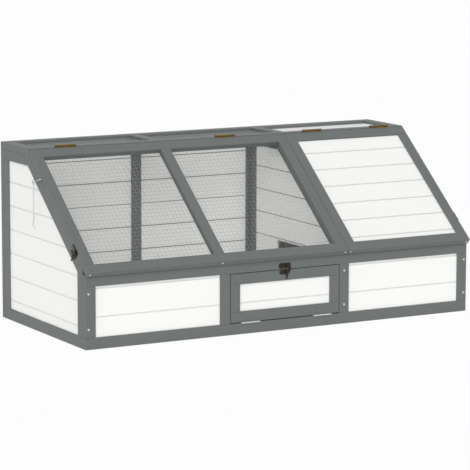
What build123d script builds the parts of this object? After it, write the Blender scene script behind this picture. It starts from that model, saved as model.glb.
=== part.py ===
"""Timber tortoise enclosure with a wire run, a boarded house, two sloping lids and a drop-down door.

Millimetres. +Z is up, +Y points to the back, and the front door faces -Y.
The origin is on the ground under the middle of the whole enclosure, whose lids overhang the front.
"""
from build123d import *
from math import acos, atan2, ceil, cos, floor, hypot, pi, sin, tan
import os

os.makedirs("parts", exist_ok=True)

# Overall sizes
width = 1450.0
depth = 650.0
height = 600.0
front_height = 240.0
flat_top_depth = 231.0

# Timber
rail_width = 36.5
panel_thickness = 22.0
top_thickness = 24.0
lid_thickness = 20.0
slope_rail_width = 34.0
side_top_rail_width = 34.0
door_member_width = 35.0
lid_top_rail_width = 40.0
timber_bevel = 1.0

# Boards
board_thickness = 10.0
board_recess = 6.0
top_infill_recess = 10.0
board_gap = 0.4
board_bevel = 1.5
front_first_joint = 103.0
front_board_pitch = 92.0
side_first_joint = 68.4
side_board_pitch = 80.1
back_first_joint = 117.0
back_board_pitch = 80.0
lid_first_joint = 59.5
lid_board_pitch = 80.0
top_board_pitch = 80.0

# Places along the width, from the left end
door_left_post_centre = 506.0
divider_centre = 959.5
lid_split = 964.5
lid_mullion_centre = 488.0
back_left_post_centre = 499.5
back_right_post_centre = 952.0
top_left_bar_centre = 483.0
top_right_bar_centre = 964.5

# Lids and door
lid_overhang = 8.0
lid_front_gap = 2.4
lid_seat_gap = 0.3
lid_parting_gap = 0.8
door_side_gap = 2.0
door_top_gap = 2.0

# Doorway in the divider, measured from the front face
doorway_near = 250.0
doorway_far = 448.0
doorway_top = 222.0

# Welded mesh, drawn at every fourth wire
wire_diameter = 1.6
mesh_pitch = 62.0
mesh_overlap = 12.0

# Butt hinges
leaf_thickness = 1.2
leaf_clearance = 0.6
leaf_width = 18.0
hinge_pin_radius = 1.5
hinge_pin_clearance = 0.05
knuckle_clearance = 0.4
knuckle_count = 3
lid_hinge_length = 76.0
lid_knuckle_radius = 3.5
lid_hinge_lift = 0.3
left_lid_hinge_centres = (131.0, 731.0)
right_lid_hinge_centres = (1077.0, 1350.0)
door_hinge_length = 70.0
door_knuckle_radius = 3.0
door_hinge_lift = 0.3
door_hinge_centres = (598.5, 872.0)

# Swing latches, drawn about the seam between the two pieces that they join
latch_plate_thickness = 1.5
latch_wide_plate = (45.0, 18.0)
latch_small_plate = (38.0, 15.0)
latch_plate_corner = 4.0
latch_wide_plate_place = (-2.5, 10.5)
latch_small_plate_place = (-3.0, -11.0)
latch_upper_stud = (6.0, 10.0)
latch_lower_stud = (4.0, -11.0)
latch_stud_radius = 2.2
latch_head_radius = 4.0
latch_head_height = 1.0
latch_boss_radius = 5.0
latch_boss_height = 1.2
latch_arm_thickness = 2.2
latch_arm_width = 6.0
latch_arm_eye_radius = 6.0
latch_arm_clearance = 0.3
latch_pivot_clearance = 0.05
latch_mouth_flare = 2.6
latch_tail_length = 20.0
latch_tail_root = 7.0
latch_tail_tip = 3.0
door_latch_centre = 731.0
door_latch_seam = 205.0
lid_latch_distance = 109.0

# Stay hooks that prop the lids
eye_wire_radius = 1.3
eye_ring_radius = 5.0
eye_shank_length = 12.0
eye_shank_clearance = 0.05
side_eye_distance = 447.0
side_eye_drop = 15.0
side_eye_reach = 16.0
lid_eye_distance = 428.0
lid_eye_reach = 6.6
hook_wire_radius = 1.6
hook_loop_radius = 5.0
hook_link_gap = 0.5
hook_rod_length = 122.0
hook_jog = 9.0
hook_jog_drop = 11.0
hook_peg_reach = 18.0
hook_peg_drop = 10.0

# Screws
screw_head_radius = 3.8
screw_head_height = 1.4
screw_shank_radius = 2.0
screw_shank_clearance = 0.05
frame_screw_length = 45.0
lid_screw_length = 60.0
frame_screw_heights = (65.0, 180.0)
lid_screw_inset = 10.0

# Number of flat sides that stand for small round stock and its holes, and for rings and discs
round_sides = 8
disc_sides = 12

# A lid's underside clears the front panel's top edge, and its top meets the flat top's front edge
lid_run = depth - flat_top_depth
lid_rise = height - front_height - lid_front_gap
lid_angle = acos(lid_thickness / hypot(lid_rise, lid_run)) - atan2(lid_run, lid_rise)
lid_length = (lid_run + lid_overhang + lid_thickness * sin(lid_angle)) / cos(lid_angle)
lid_seat = -(lid_thickness + lid_seat_gap)
lid_nose = lid_overhang + (lid_thickness - timber_bevel) * sin(lid_angle)

# Faces and lines that the sizes give
left = -width / 2
right = width / 2
front = (lid_nose - depth) / 2
back = front + depth
slab_front = back - flat_top_depth
slab_under = height - top_thickness
inner_front = front + panel_thickness
inner_back = back - panel_thickness
hinge_gap = 2 * leaf_thickness + leaf_clearance
lid_end = slab_front - hinge_gap
slope_up = (0, -sin(lid_angle), cos(lid_angle))
slope = Plane(origin=(0, slab_front, height), x_dir=(1, 0, 0), z_dir=slope_up)


def place(distance):
    """X of a point measured from the left end."""
    return left + distance


def slope_point(along, above):
    """Y and Z of a point on the lid's slope: along it from its top edge, and above its top face."""
    y = slab_front + along * cos(lid_angle) - above * sin(lid_angle)
    z = height + along * sin(lid_angle) + above * cos(lid_angle)
    return y, z


def slope_cut(along):
    """Plane square to the slope at a distance along it."""
    return Plane(origin=slope.from_local_coords((0, along, 0)), x_dir=(1, 0, 0), z_dir=slope.y_dir)


def slope_height(y, above):
    """Z at which a line parallel to the lid passes a given Y."""
    return height + above / cos(lid_angle) + (y - slab_front) * tan(lid_angle)


def slope_reach(z, above):
    """Y at which a line parallel to the lid reaches a given Z."""
    return slab_front + (z - height - above / cos(lid_angle)) / tan(lid_angle)


def side_plane(x):
    """Plane across the enclosure at X, with Y and Z as its own axes."""
    return Plane(origin=(x, 0, 0), x_dir=(0, 1, 0), z_dir=(1, 0, 0))


def box_between(x, y, z):
    """Add a box that fills three spans."""
    with BuildSketch(Plane.XY.offset(z[0])) as profile:
        with Locations(((x[0] + x[1]) / 2, (y[0] + y[1]) / 2)):
            Rectangle(x[1] - x[0], y[1] - y[0])
    extrude(profile.sketch, amount=z[1] - z[0])


def slab_between(x, along, above):
    """Add a slab that fills three spans: across, along the slope and above it."""
    with BuildSketch(slope.offset(above[0])) as profile:
        with Locations(((x[0] + x[1]) / 2, (along[0] + along[1]) / 2)):
            Rectangle(x[1] - x[0], along[1] - along[0])
    extrude(profile.sketch, amount=above[1] - above[0])


def outline_across(x, points):
    """Add a piece with the given outline in Y and Z that fills a span of X."""
    with BuildSketch(side_plane(x[0])) as profile:
        Polygon(*points, align=None)
    extrude(profile.sketch, amount=x[1] - x[0])


def ease(piece):
    """Take the sharp edges off a timber piece."""
    chamfer(piece.edges(), length=timber_bevel)


def ease_boards(piece, run):
    """Bevel the edges along the run of some boards, which makes the grooves at their joints."""
    chamfer(piece.edges().filter_by(run), length=board_bevel)


def joints(low, high, first_joint, pitch):
    """Places of the joints between boards, at each pitch from first_joint and clear of the ends."""
    margin = 2 * board_bevel + board_gap
    first = ceil((low + margin - first_joint) / pitch)
    last = floor((high - margin - first_joint) / pitch)
    return [first_joint + pitch * step for step in range(first, last + 1)]


def saw_apart(planes):
    """Split boarding at the given planes."""
    for plane in planes:
        with BuildSketch(plane) as profile:
            Rectangle(2 * width, 2 * width)
        extrude(profile.sketch, amount=board_gap / 2, both=True, mode=Mode.SUBTRACT)


def part_boards(heights):
    """Split upright boarding at the given heights."""
    saw_apart([Plane.XY.offset(z) for z in heights])


def keep(piece, name):
    """Label a finished piece and write it."""
    piece.part.label = name
    export_step(piece.part, f"parts/{name}.step")


def stock(radius):
    """Outline of small round stock."""
    RegularPolygon(radius, round_sides)


def bore(radius, mode=Mode.ADD):
    """Outline of a hole that clears small round stock however it is turned."""
    RegularPolygon(radius, round_sides, major_radius=False, mode=mode)


def disc(radius, mode=Mode.ADD):
    """Outline of a disc."""
    RegularPolygon(radius, disc_sides, mode=mode)


def wire_ring(plane, radius, wire_radius):
    """Add a ring of round wire that lies in the plane."""
    with BuildSketch(plane) as profile:
        disc(radius + wire_radius)
        disc(radius - wire_radius, Mode.SUBTRACT)
    extrude(profile.sketch, amount=wire_radius, both=True)
    rims = edges(Select.LAST) - edges(Select.LAST).filter_by(Axis(plane.origin, plane.z_dir))
    chamfer(rims, length=wire_radius * (1 - tan(pi / round_sides)))


def drill(planes, radius, reach):
    """Cut a hole at each plane, which lies on the surface and faces out."""
    for plane in planes:
        with BuildSketch(plane) as profile:
            bore(radius)
        extrude(profile.sketch, amount=-reach, mode=Mode.SUBTRACT)


def screw_holes(planes, length):
    """Cut the holes for some screws."""
    drill(planes, screw_shank_radius + screw_shank_clearance, length + screw_shank_clearance)


def screws(planes, length):
    """Add some screws, each with its head on its plane."""
    for plane in planes:
        with BuildSketch(plane) as profile:
            stock(screw_head_radius)
        extrude(profile.sketch, amount=screw_head_height)
        with BuildSketch(plane) as profile:
            stock(screw_shank_radius)
        extrude(profile.sketch, amount=-length)


def front_plane(x, z):
    """Plane on the front face, facing out, with its own X to the right."""
    return Plane(origin=(x, front, z), x_dir=(1, 0, 0), z_dir=(0, -1, 0))


def lid_end_plane(x):
    """Plane on a lid's lower end face, facing out."""
    y, z = slope_point(-lid_length, -lid_thickness / 2)
    return Plane(origin=(x, y, z), x_dir=(1, 0, 0), z_dir=(0, -cos(lid_angle), -sin(lid_angle)))


def span_about(centre, size):
    """Span of a member centred at a distance from the left end."""
    return place(centre) - size / 2, place(centre) + size / 2


# Spans that several pieces share
whole_width = (left, right)
front_wall = (front, inner_front)
back_wall = (inner_back, back)
left_wall = (left, left + panel_thickness)
left_end = (left, left + rail_width)
right_end = (right - rail_width, right)
divider_wall = span_about(divider_centre, panel_thickness)
bottom_rail = (0, rail_width)
front_window = (rail_width, front_height - rail_width)
left_door_post = span_about(door_left_post_centre, rail_width)
right_door_post = span_about(divider_centre, rail_width)
front_screw_places = (left + panel_thickness / 2, place(divider_centre), right - panel_thickness / 2)
front_screw_planes = [front_plane(x, z) for x in front_screw_places for z in frame_screw_heights]

# Front panel
with BuildPart() as front_bottom_rail:
    box_between(whole_width, front_wall, bottom_rail)
    ease(front_bottom_rail)
keep(front_bottom_rail, "front_bottom_rail")

with BuildPart() as front_top_rail:
    box_between(whole_width, front_wall, (front_window[1], front_height))
    ease(front_top_rail)
keep(front_top_rail, "front_top_rail")

with BuildPart() as front_end_stiles:
    box_between(left_end, front_wall, front_window)
    box_between(right_end, front_wall, front_window)
    ease(front_end_stiles)
    screw_holes(front_screw_planes, frame_screw_length)
keep(front_end_stiles, "front_end_stiles")

with BuildPart() as front_door_posts:
    box_between(left_door_post, front_wall, front_window)
    box_between(right_door_post, front_wall, front_window)
    ease(front_door_posts)
    screw_holes(front_screw_planes, frame_screw_length)
keep(front_door_posts, "front_door_posts")

front_board_faces = (front + board_recess, front + board_recess + board_thickness)
front_joints = joints(*front_window, front_first_joint, front_board_pitch)

with BuildPart() as front_left_boards:
    box_between((left_end[1], left_door_post[0]), front_board_faces, front_window)
    part_boards(front_joints)
    ease_boards(front_left_boards, Axis.X)
keep(front_left_boards, "front_left_boards")

with BuildPart() as front_right_boards:
    box_between((right_door_post[1], right_end[0]), front_board_faces, front_window)
    part_boards(front_joints)
    ease_boards(front_right_boards, Axis.X)
keep(front_right_boards, "front_right_boards")

with BuildPart() as front_screws:
    screws(front_screw_planes, frame_screw_length)
keep(front_screws, "front_screws")

# Outlines that the two sides and the divider share
near_post = (inner_front, inner_front + rail_width)
far_post = (inner_back - rail_width, inner_back)
side_window_top = slab_under - side_top_rail_width
rail_under = lid_seat - slope_rail_width
side_joints = joints(rail_width, side_window_top, side_first_joint, side_board_pitch)


def side_posts(x):
    """Add the front post, cut to the slope, and the back post."""
    near, far = near_post
    tops = ((far, slope_height(far, rail_under)), (near, slope_height(near, rail_under)))
    outline_across(x, ((near, rail_width), (far, rail_width), *tops))
    box_between(x, far_post, (rail_width, side_window_top))


def side_slope_rail(x):
    """Add the sloping rail, on which a lid rests."""
    lower = (inner_front, slope_height(inner_front, rail_under))
    upper = (slope_reach(slab_under, rail_under), slab_under)
    upper_seat = (slope_reach(slab_under, lid_seat), slab_under)
    lower_seat = (inner_front, slope_height(inner_front, lid_seat))
    outline_across(x, (lower, upper, upper_seat, lower_seat))


def side_top_rail(x):
    """Add the top rail, which meets the sloping rail on a slant."""
    low = (slope_reach(side_window_top, rail_under), side_window_top)
    high = (slope_reach(slab_under, rail_under), slab_under)
    outline_across(x, (low, (inner_back, side_window_top), (inner_back, slab_under), high))


def side_boarding(x):
    """Add the boards that fill the frame's window."""
    near = near_post[1]
    far = far_post[0]
    near_top = (near, slope_height(near, rail_under))
    bend = (slope_reach(side_window_top, rail_under), side_window_top)
    outline_across(x, ((near, rail_width), (far, rail_width), (far, side_window_top), bend, near_top))
    part_boards(side_joints)


side_board_faces = (left + board_recess, left + board_recess + board_thickness)

# Screw eyes of the stay hooks
side_eye_y, side_eye_z = slope_point(side_eye_distance - lid_length, lid_seat - side_eye_drop)
lid_eye_y, lid_eye_z = slope_point(lid_eye_distance - lid_length, -lid_thickness / 2)


def eye_seats(y, z, across_ring):
    """Planes on the left and right faces that face out, with their own X across the ring of a screw eye."""
    left_seat = Plane(origin=(left, y, z), x_dir=across_ring, z_dir=(-1, 0, 0))
    right_seat = Plane(origin=(right, y, z), x_dir=across_ring, z_dir=(1, 0, 0))
    return left_seat, right_seat


def eye_hole(seat):
    """Cut the hole for a screw eye."""
    drill([seat], eye_wire_radius + eye_shank_clearance, eye_shank_length + eye_shank_clearance)


def screw_eye(seat, reach):
    """Add a screw eye whose ring is centred at reach from its seat."""
    centre = seat.from_local_coords((0, 0, reach))
    wire_ring(Plane(origin=centre, x_dir=seat.z_dir, z_dir=seat.y_dir), eye_ring_radius, eye_wire_radius)
    with BuildSketch(seat) as shank:
        stock(eye_wire_radius)
    extrude(shank.sketch, amount=reach - eye_ring_radius)
    extrude(shank.sketch, amount=-eye_shank_length)


left_side_eye_seat, right_side_eye_seat = eye_seats(side_eye_y, side_eye_z, (0, 0, 1))
left_lid_eye_seat, right_lid_eye_seat = eye_seats(lid_eye_y, lid_eye_z, (0, 1, 0))

# Left side, and the right side as its mirror image
with BuildPart() as left_side_bottom_rail:
    box_between(left_wall, (inner_front, inner_back), bottom_rail)
    ease(left_side_bottom_rail)
keep(left_side_bottom_rail, "left_side_bottom_rail")

with BuildPart() as left_side_posts:
    side_posts(left_wall)
    ease(left_side_posts)
    screw_holes(front_screw_planes, frame_screw_length)
keep(left_side_posts, "left_side_posts")

with BuildPart() as left_side_slope_rail:
    side_slope_rail(left_wall)
    ease(left_side_slope_rail)
    eye_hole(left_side_eye_seat)
keep(left_side_slope_rail, "left_side_slope_rail")

with BuildPart() as left_side_top_rail:
    side_top_rail(left_wall)
    ease(left_side_top_rail)
keep(left_side_top_rail, "left_side_top_rail")

with BuildPart() as left_side_boards:
    side_boarding(side_board_faces)
    ease_boards(left_side_boards, Axis.Y)
keep(left_side_boards, "left_side_boards")

with BuildPart() as right_side_bottom_rail:
    add(mirror(left_side_bottom_rail.part, about=Plane.YZ, mode=Mode.PRIVATE))
keep(right_side_bottom_rail, "right_side_bottom_rail")

with BuildPart() as right_side_posts:
    add(mirror(left_side_posts.part, about=Plane.YZ, mode=Mode.PRIVATE))
keep(right_side_posts, "right_side_posts")

with BuildPart() as right_side_slope_rail:
    add(mirror(left_side_slope_rail.part, about=Plane.YZ, mode=Mode.PRIVATE))
keep(right_side_slope_rail, "right_side_slope_rail")

with BuildPart() as right_side_top_rail:
    add(mirror(left_side_top_rail.part, about=Plane.YZ, mode=Mode.PRIVATE))
keep(right_side_top_rail, "right_side_top_rail")

with BuildPart() as right_side_boards:
    add(mirror(left_side_boards.part, about=Plane.YZ, mode=Mode.PRIVATE))
keep(right_side_boards, "right_side_boards")

# Divider between the run and the house, with a doorway in its boards
divider_board_faces = span_about(divider_centre, board_thickness)

with BuildPart() as divider_rails:
    box_between(divider_wall, (inner_front, inner_back), bottom_rail)
    side_slope_rail(divider_wall)
    ease(divider_rails)
keep(divider_rails, "divider_rails")

with BuildPart() as divider_top_rail:
    side_top_rail(divider_wall)
    ease(divider_top_rail)
keep(divider_top_rail, "divider_top_rail")

with BuildPart() as divider_posts:
    side_posts(divider_wall)
    ease(divider_posts)
    screw_holes(front_screw_planes, frame_screw_length)
keep(divider_posts, "divider_posts")

with BuildPart() as divider_boards:
    side_boarding(divider_board_faces)
    with BuildSketch(side_plane(divider_board_faces[0])):
        with Locations((front + (doorway_near + doorway_far) / 2, doorway_top / 2)):
            Rectangle(doorway_far - doorway_near, doorway_top)
    extrude(amount=board_thickness, mode=Mode.SUBTRACT)
    ease_boards(divider_boards, Axis.Y)
keep(divider_boards, "divider_boards")

# Back panel
back_window = (rail_width, slab_under - rail_width)
back_left_post = span_about(back_left_post_centre, rail_width)
back_right_post = span_about(back_right_post_centre, rail_width)
back_board_faces = (back - board_recess - board_thickness, back - board_recess)

with BuildPart() as back_rails:
    box_between(whole_width, back_wall, bottom_rail)
    box_between(whole_width, back_wall, (back_window[1], slab_under))
    ease(back_rails)
keep(back_rails, "back_rails")

with BuildPart() as back_posts:
    for span in (left_end, back_left_post, back_right_post, right_end):
        box_between(span, back_wall, back_window)
    ease(back_posts)
keep(back_posts, "back_posts")

with BuildPart() as back_boards:
    box_between((left_end[1], back_left_post[0]), back_board_faces, back_window)
    box_between((back_left_post[1], back_right_post[0]), back_board_faces, back_window)
    box_between((back_right_post[1], right_end[0]), back_board_faces, back_window)
    part_boards(joints(*back_window, back_first_joint, back_board_pitch))
    ease_boards(back_boards, Axis.X)
keep(back_boards, "back_boards")

# Flat top: two bays of mesh and one of boards
top_faces = (slab_under, height)
top_window = (slab_front + rail_width, back - rail_width)
top_left_bar = span_about(top_left_bar_centre, rail_width)
top_right_bar = span_about(top_right_bar_centre, rail_width)
top_infill = height - top_infill_recess

with BuildPart() as top_rails:
    box_between(whole_width, (slab_front, top_window[0]), top_faces)
    box_between(whole_width, (top_window[1], back), top_faces)
    ease(top_rails)
keep(top_rails, "top_rails")

with BuildPart() as top_bars:
    for span in (left_end, top_left_bar, top_right_bar, right_end):
        box_between(span, top_window, top_faces)
    ease(top_bars)
keep(top_bars, "top_bars")

with BuildPart() as top_boards:
    box_between((top_right_bar[1], right_end[0]), top_window, (top_infill - board_thickness, top_infill))
    top_joints = joints(*top_window, top_window[0] + top_board_pitch, top_board_pitch)
    saw_apart([Plane.XZ.offset(-y) for y in top_joints])
    ease_boards(top_boards, Axis.X)
keep(top_boards, "top_boards")


def mesh_sheet(plane, x, y, overlap):
    """Add a sheet of welded mesh that fills a window, with a margin that laps over the frame."""
    across = x[1] - x[0]
    along = y[1] - y[0]
    columns = round(across / mesh_pitch)
    rows = round(along / mesh_pitch)
    with BuildSketch(plane) as profile:
        with Locations(((x[0] + x[1]) / 2, (y[0] + y[1]) / 2)):
            Rectangle(across + 2 * overlap, along + 2 * overlap)
            with GridLocations(across / columns, along / rows, columns, rows):
                gap = (across / columns - wire_diameter, along / rows - wire_diameter)
                Rectangle(*gap, mode=Mode.SUBTRACT)
    extrude(profile.sketch, amount=-wire_diameter)


with BuildPart() as top_left_mesh:
    mesh_sheet(Plane.XY.offset(top_infill), (left_end[1], top_left_bar[0]), top_window, 0)
keep(top_left_mesh, "top_left_mesh")

with BuildPart() as top_middle_mesh:
    mesh_sheet(Plane.XY.offset(top_infill), (top_left_bar[1], top_right_bar[0]), top_window, 0)
keep(top_middle_mesh, "top_middle_mesh")

# Lids: rails run across the whole lid and the stiles stand between them
left_lid_span = (left, place(lid_split) - lid_parting_gap / 2)
right_lid_span = (place(lid_split) + lid_parting_gap / 2, right)
lid_window = (rail_width - lid_length, -lid_top_rail_width)
left_lid_left_stile = left_end
left_lid_mullion = span_about(lid_mullion_centre, rail_width)
left_lid_right_stile = (left_lid_span[1] - rail_width, left_lid_span[1])
right_lid_left_stile = (right_lid_span[0], right_lid_span[0] + rail_width)
right_lid_right_stile = right_end
left_lid_screw_edges = (left + lid_screw_inset, left_lid_span[1] - lid_screw_inset)
left_lid_screw_planes = [lid_end_plane(x) for x in (*left_lid_screw_edges, place(lid_mullion_centre))]
right_lid_screw_edges = (right_lid_span[0] + lid_screw_inset, right - lid_screw_inset)
right_lid_screw_planes = [lid_end_plane(x) for x in right_lid_screw_edges]
lid_faces = (-lid_thickness, 0)
lid_board_faces = (-board_recess - board_thickness, -board_recess)
mesh_plane = slope.offset(-lid_thickness)


def lid_rails(x):
    """Add a lid's lower rail and its upper rail, whose end is upright beside the flat top."""
    slab_between(x, (-lid_length, lid_window[0]), lid_faces)
    end_top = (lid_end, slope_height(lid_end, 0))
    end_under = (lid_end, slope_height(lid_end, -lid_thickness))
    near_under = slope_point(lid_window[1], -lid_thickness)
    near_top = slope_point(lid_window[1], 0)
    outline_across(x, (near_top, near_under, end_under, end_top))


with BuildPart() as left_lid_rails:
    lid_rails(left_lid_span)
    ease(left_lid_rails)
    screw_holes(left_lid_screw_planes, lid_screw_length)
keep(left_lid_rails, "left_lid_rails")

with BuildPart() as left_lid_stiles:
    for span in (left_lid_left_stile, left_lid_mullion, left_lid_right_stile):
        slab_between(span, lid_window, lid_faces)
    ease(left_lid_stiles)
    screw_holes(left_lid_screw_planes, lid_screw_length)
    eye_hole(left_lid_eye_seat)
keep(left_lid_stiles, "left_lid_stiles")

with BuildPart() as left_lid_left_mesh:
    mesh_sheet(mesh_plane, (left_lid_left_stile[1], left_lid_mullion[0]), lid_window, mesh_overlap)
keep(left_lid_left_mesh, "left_lid_left_mesh")

with BuildPart() as left_lid_right_mesh:
    mesh_sheet(mesh_plane, (left_lid_mullion[1], left_lid_right_stile[0]), lid_window, mesh_overlap)
keep(left_lid_right_mesh, "left_lid_right_mesh")

with BuildPart() as left_lid_screws:
    screws(left_lid_screw_planes, lid_screw_length)
keep(left_lid_screws, "left_lid_screws")

with BuildPart() as right_lid_rails:
    lid_rails(right_lid_span)
    ease(right_lid_rails)
    screw_holes(right_lid_screw_planes, lid_screw_length)
keep(right_lid_rails, "right_lid_rails")

with BuildPart() as right_lid_stiles:
    for span in (right_lid_left_stile, right_lid_right_stile):
        slab_between(span, lid_window, lid_faces)
    ease(right_lid_stiles)
    screw_holes(right_lid_screw_planes, lid_screw_length)
    eye_hole(right_lid_eye_seat)
keep(right_lid_stiles, "right_lid_stiles")

with BuildPart() as right_lid_boards:
    slab_between((right_lid_left_stile[1], right_lid_right_stile[0]), lid_window, lid_board_faces)
    lid_joints = joints(*lid_window, lid_first_joint - lid_length, lid_board_pitch)
    saw_apart([slope_cut(along) for along in lid_joints])
    ease_boards(right_lid_boards, Axis.X)
keep(right_lid_boards, "right_lid_boards")

with BuildPart() as right_lid_screws:
    screws(right_lid_screw_planes, lid_screw_length)
keep(right_lid_screws, "right_lid_screws")

# Drop-down door
door_x = (left_door_post[1] + door_side_gap, right_door_post[0] - door_side_gap)
door_z = (rail_width + hinge_gap, front_window[1] - door_top_gap)
door_window_x = (door_x[0] + door_member_width, door_x[1] - door_member_width)
door_window_z = (door_z[0] + door_member_width, door_z[1] - door_member_width)

with BuildPart() as door_rails:
    box_between(door_x, front_wall, (door_z[0], door_window_z[0]))
    box_between(door_x, front_wall, (door_window_z[1], door_z[1]))
    ease(door_rails)
keep(door_rails, "door_rails")

with BuildPart() as door_stiles:
    box_between((door_x[0], door_window_x[0]), front_wall, door_window_z)
    box_between((door_window_x[1], door_x[1]), front_wall, door_window_z)
    ease(door_stiles)
keep(door_stiles, "door_stiles")

with BuildPart() as door_boards:
    box_between(door_window_x, front_board_faces, door_window_z)
    part_boards(joints(*door_window_z, front_first_joint, front_board_pitch))
    ease_boards(door_boards, Axis.X)
keep(door_boards, "door_boards")

# Butt hinges. A leaf's section is drawn with its own X away from the pin and its own Y across the leaves.
lid_hinge_y = slab_front - hinge_gap / 2
lid_hinge_z = height + lid_knuckle_radius + lid_hinge_lift
door_hinge_y = front - door_knuckle_radius - door_hinge_lift
door_hinge_z = rail_width + hinge_gap / 2


def hinge_leaf(start, knuckle_radius, lift, length, side, first_knuckle):
    """Add one leaf with its knuckles: start is the section plane at the end of the barrel."""
    across = side * (leaf_clearance + leaf_thickness) / 2
    root = knuckle_radius + lift
    pitch = length / knuckle_count
    with BuildSketch(start) as leaf:
        with Locations((root + leaf_width / 2, across)):
            Rectangle(leaf_width, leaf_thickness)
    extrude(leaf.sketch, amount=length)
    for number in range(first_knuckle, knuckle_count, 2):
        with BuildSketch(start.offset(number * pitch + knuckle_clearance / 2)) as knuckle:
            stock(knuckle_radius)
            with Locations((root / 2, across)):
                Rectangle(root, leaf_thickness)
            bore(hinge_pin_radius + hinge_pin_clearance, Mode.SUBTRACT)
        extrude(knuckle.sketch, amount=pitch - knuckle_clearance)


def door_hinge_pin(start):
    """Add a door hinge's pin, of the small round stock."""
    with BuildSketch(start) as section:
        stock(hinge_pin_radius)
    extrude(section.sketch, amount=door_hinge_length)


def lid_hinge_pin(start):
    """Add a lid hinge's pin."""
    with BuildSketch(start) as section:
        Circle(hinge_pin_radius)
    extrude(section.sketch, amount=lid_hinge_length)


def lid_hinge_start(centre):
    """Section plane at the left end of a lid hinge, whose leaves hang down."""
    x = place(centre) - lid_hinge_length / 2
    return Plane(origin=(x, lid_hinge_y, lid_hinge_z), x_dir=(0, 0, -1), z_dir=(1, 0, 0))


def door_hinge_start(centre):
    """Section plane at the left end of a door hinge, whose leaves lie flat."""
    x = place(centre) - door_hinge_length / 2
    return Plane(origin=(x, door_hinge_y, door_hinge_z), x_dir=(0, 1, 0), z_dir=(1, 0, 0))


left_lid_hinges = [lid_hinge_start(centre) for centre in left_lid_hinge_centres]
right_lid_hinges = [lid_hinge_start(centre) for centre in right_lid_hinge_centres]
door_hinges = [door_hinge_start(centre) for centre in door_hinge_centres]

with BuildPart() as lid_hinge_top_leaves:
    for hinge in left_lid_hinges + right_lid_hinges:
        hinge_leaf(hinge, lid_knuckle_radius, lid_hinge_lift, lid_hinge_length, 1, 0)
keep(lid_hinge_top_leaves, "lid_hinge_top_leaves")

with BuildPart() as left_lid_hinge_leaves:
    for hinge in left_lid_hinges:
        hinge_leaf(hinge, lid_knuckle_radius, lid_hinge_lift, lid_hinge_length, -1, 1)
keep(left_lid_hinge_leaves, "left_lid_hinge_leaves")

with BuildPart() as right_lid_hinge_leaves:
    for hinge in right_lid_hinges:
        hinge_leaf(hinge, lid_knuckle_radius, lid_hinge_lift, lid_hinge_length, -1, 1)
keep(right_lid_hinge_leaves, "right_lid_hinge_leaves")

with BuildPart() as lid_hinge_pins:
    for hinge in left_lid_hinges + right_lid_hinges:
        lid_hinge_pin(hinge)
keep(lid_hinge_pins, "lid_hinge_pins")

with BuildPart() as door_hinge_rail_leaves:
    for hinge in door_hinges:
        hinge_leaf(hinge, door_knuckle_radius, door_hinge_lift, door_hinge_length, -1, 0)
keep(door_hinge_rail_leaves, "door_hinge_rail_leaves")

with BuildPart() as door_hinge_door_leaves:
    for hinge in door_hinges:
        hinge_leaf(hinge, door_knuckle_radius, door_hinge_lift, door_hinge_length, 1, 1)
keep(door_hinge_door_leaves, "door_hinge_door_leaves")

with BuildPart() as door_hinge_pins:
    for hinge in door_hinges:
        door_hinge_pin(hinge)
keep(door_hinge_pins, "door_hinge_pins")

# Swing latches. Each is drawn about its seam, with its own X to the viewer's right and its own Y up.
latch_arm_low = latch_plate_thickness + latch_boss_height + latch_arm_clearance
latch_head_low = latch_arm_low + latch_arm_thickness + latch_arm_clearance


def latch_half(face, middle, size, stud):
    """Add one plate of a latch with its headed stud."""
    with BuildSketch(face) as plate:
        with Locations(middle):
            Rectangle(*size)
        chamfer(plate.vertices(), length=latch_plate_corner)
    extrude(plate.sketch, amount=latch_plate_thickness)
    with BuildSketch(face) as post:
        with Locations(stud):
            stock(latch_stud_radius)
    extrude(post.sketch, amount=latch_head_low)
    with BuildSketch(face.offset(latch_head_low)) as head:
        with Locations(stud):
            stock(latch_head_radius)
    extrude(head.sketch, amount=latch_head_height)


def latch_base(face, middle, size, stud):
    """Add the half that carries the arm, which turns on a boss round its stud."""
    latch_half(face, middle, size, stud)
    with BuildSketch(face) as boss:
        with Locations(stud):
            stock(latch_boss_radius)
    extrude(boss.sketch, amount=latch_plate_thickness + latch_boss_height)


def latch_arm(face, pivot, catch):
    """Add the C-shaped arm, which turns on the pivot, opens at the catch and ends in a thumb tail."""
    upper_x, upper_y = latch_upper_stud
    lower_x, lower_y = latch_lower_stud
    bow_x = (upper_x + lower_x) / 2
    bow_y = (upper_y + lower_y) / 2
    bow_radius = hypot(upper_x - lower_x, upper_y - lower_y) / 2
    outer = bow_radius + latch_arm_width / 2
    mouth = latch_stud_radius + latch_arm_clearance
    tail_top = lower_y - mouth
    tail_end = tail_top - latch_tail_length
    tail_left = ((lower_x - latch_tail_root / 2, tail_top), (lower_x - latch_tail_tip / 2, tail_end))
    tail_right = ((lower_x + latch_tail_tip / 2, tail_end), (lower_x + latch_tail_root / 2, tail_top))
    reach = 2 * latch_arm_eye_radius
    lip = mouth + latch_mouth_flare
    with BuildSketch(face.offset(latch_arm_low)) as arm:
        with Locations((bow_x, bow_y)):
            disc(outer)
            disc(outer - latch_arm_width, Mode.SUBTRACT)
        with Locations((bow_x - outer, bow_y)):
            Rectangle(2 * outer, 4 * outer, mode=Mode.SUBTRACT)
        with Locations(pivot, catch):
            disc(latch_arm_eye_radius)
        Polygon(*tail_left, *tail_right, align=None)
        with Locations(pivot):
            bore(latch_stud_radius + latch_pivot_clearance, Mode.SUBTRACT)
        with Locations(catch):
            bore(mouth, Mode.SUBTRACT)
            Polygon((0, -mouth), (0, mouth), (-reach, lip), (-reach, -lip), align=None, mode=Mode.SUBTRACT)
    extrude(arm.sketch, amount=latch_arm_thickness)


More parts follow.
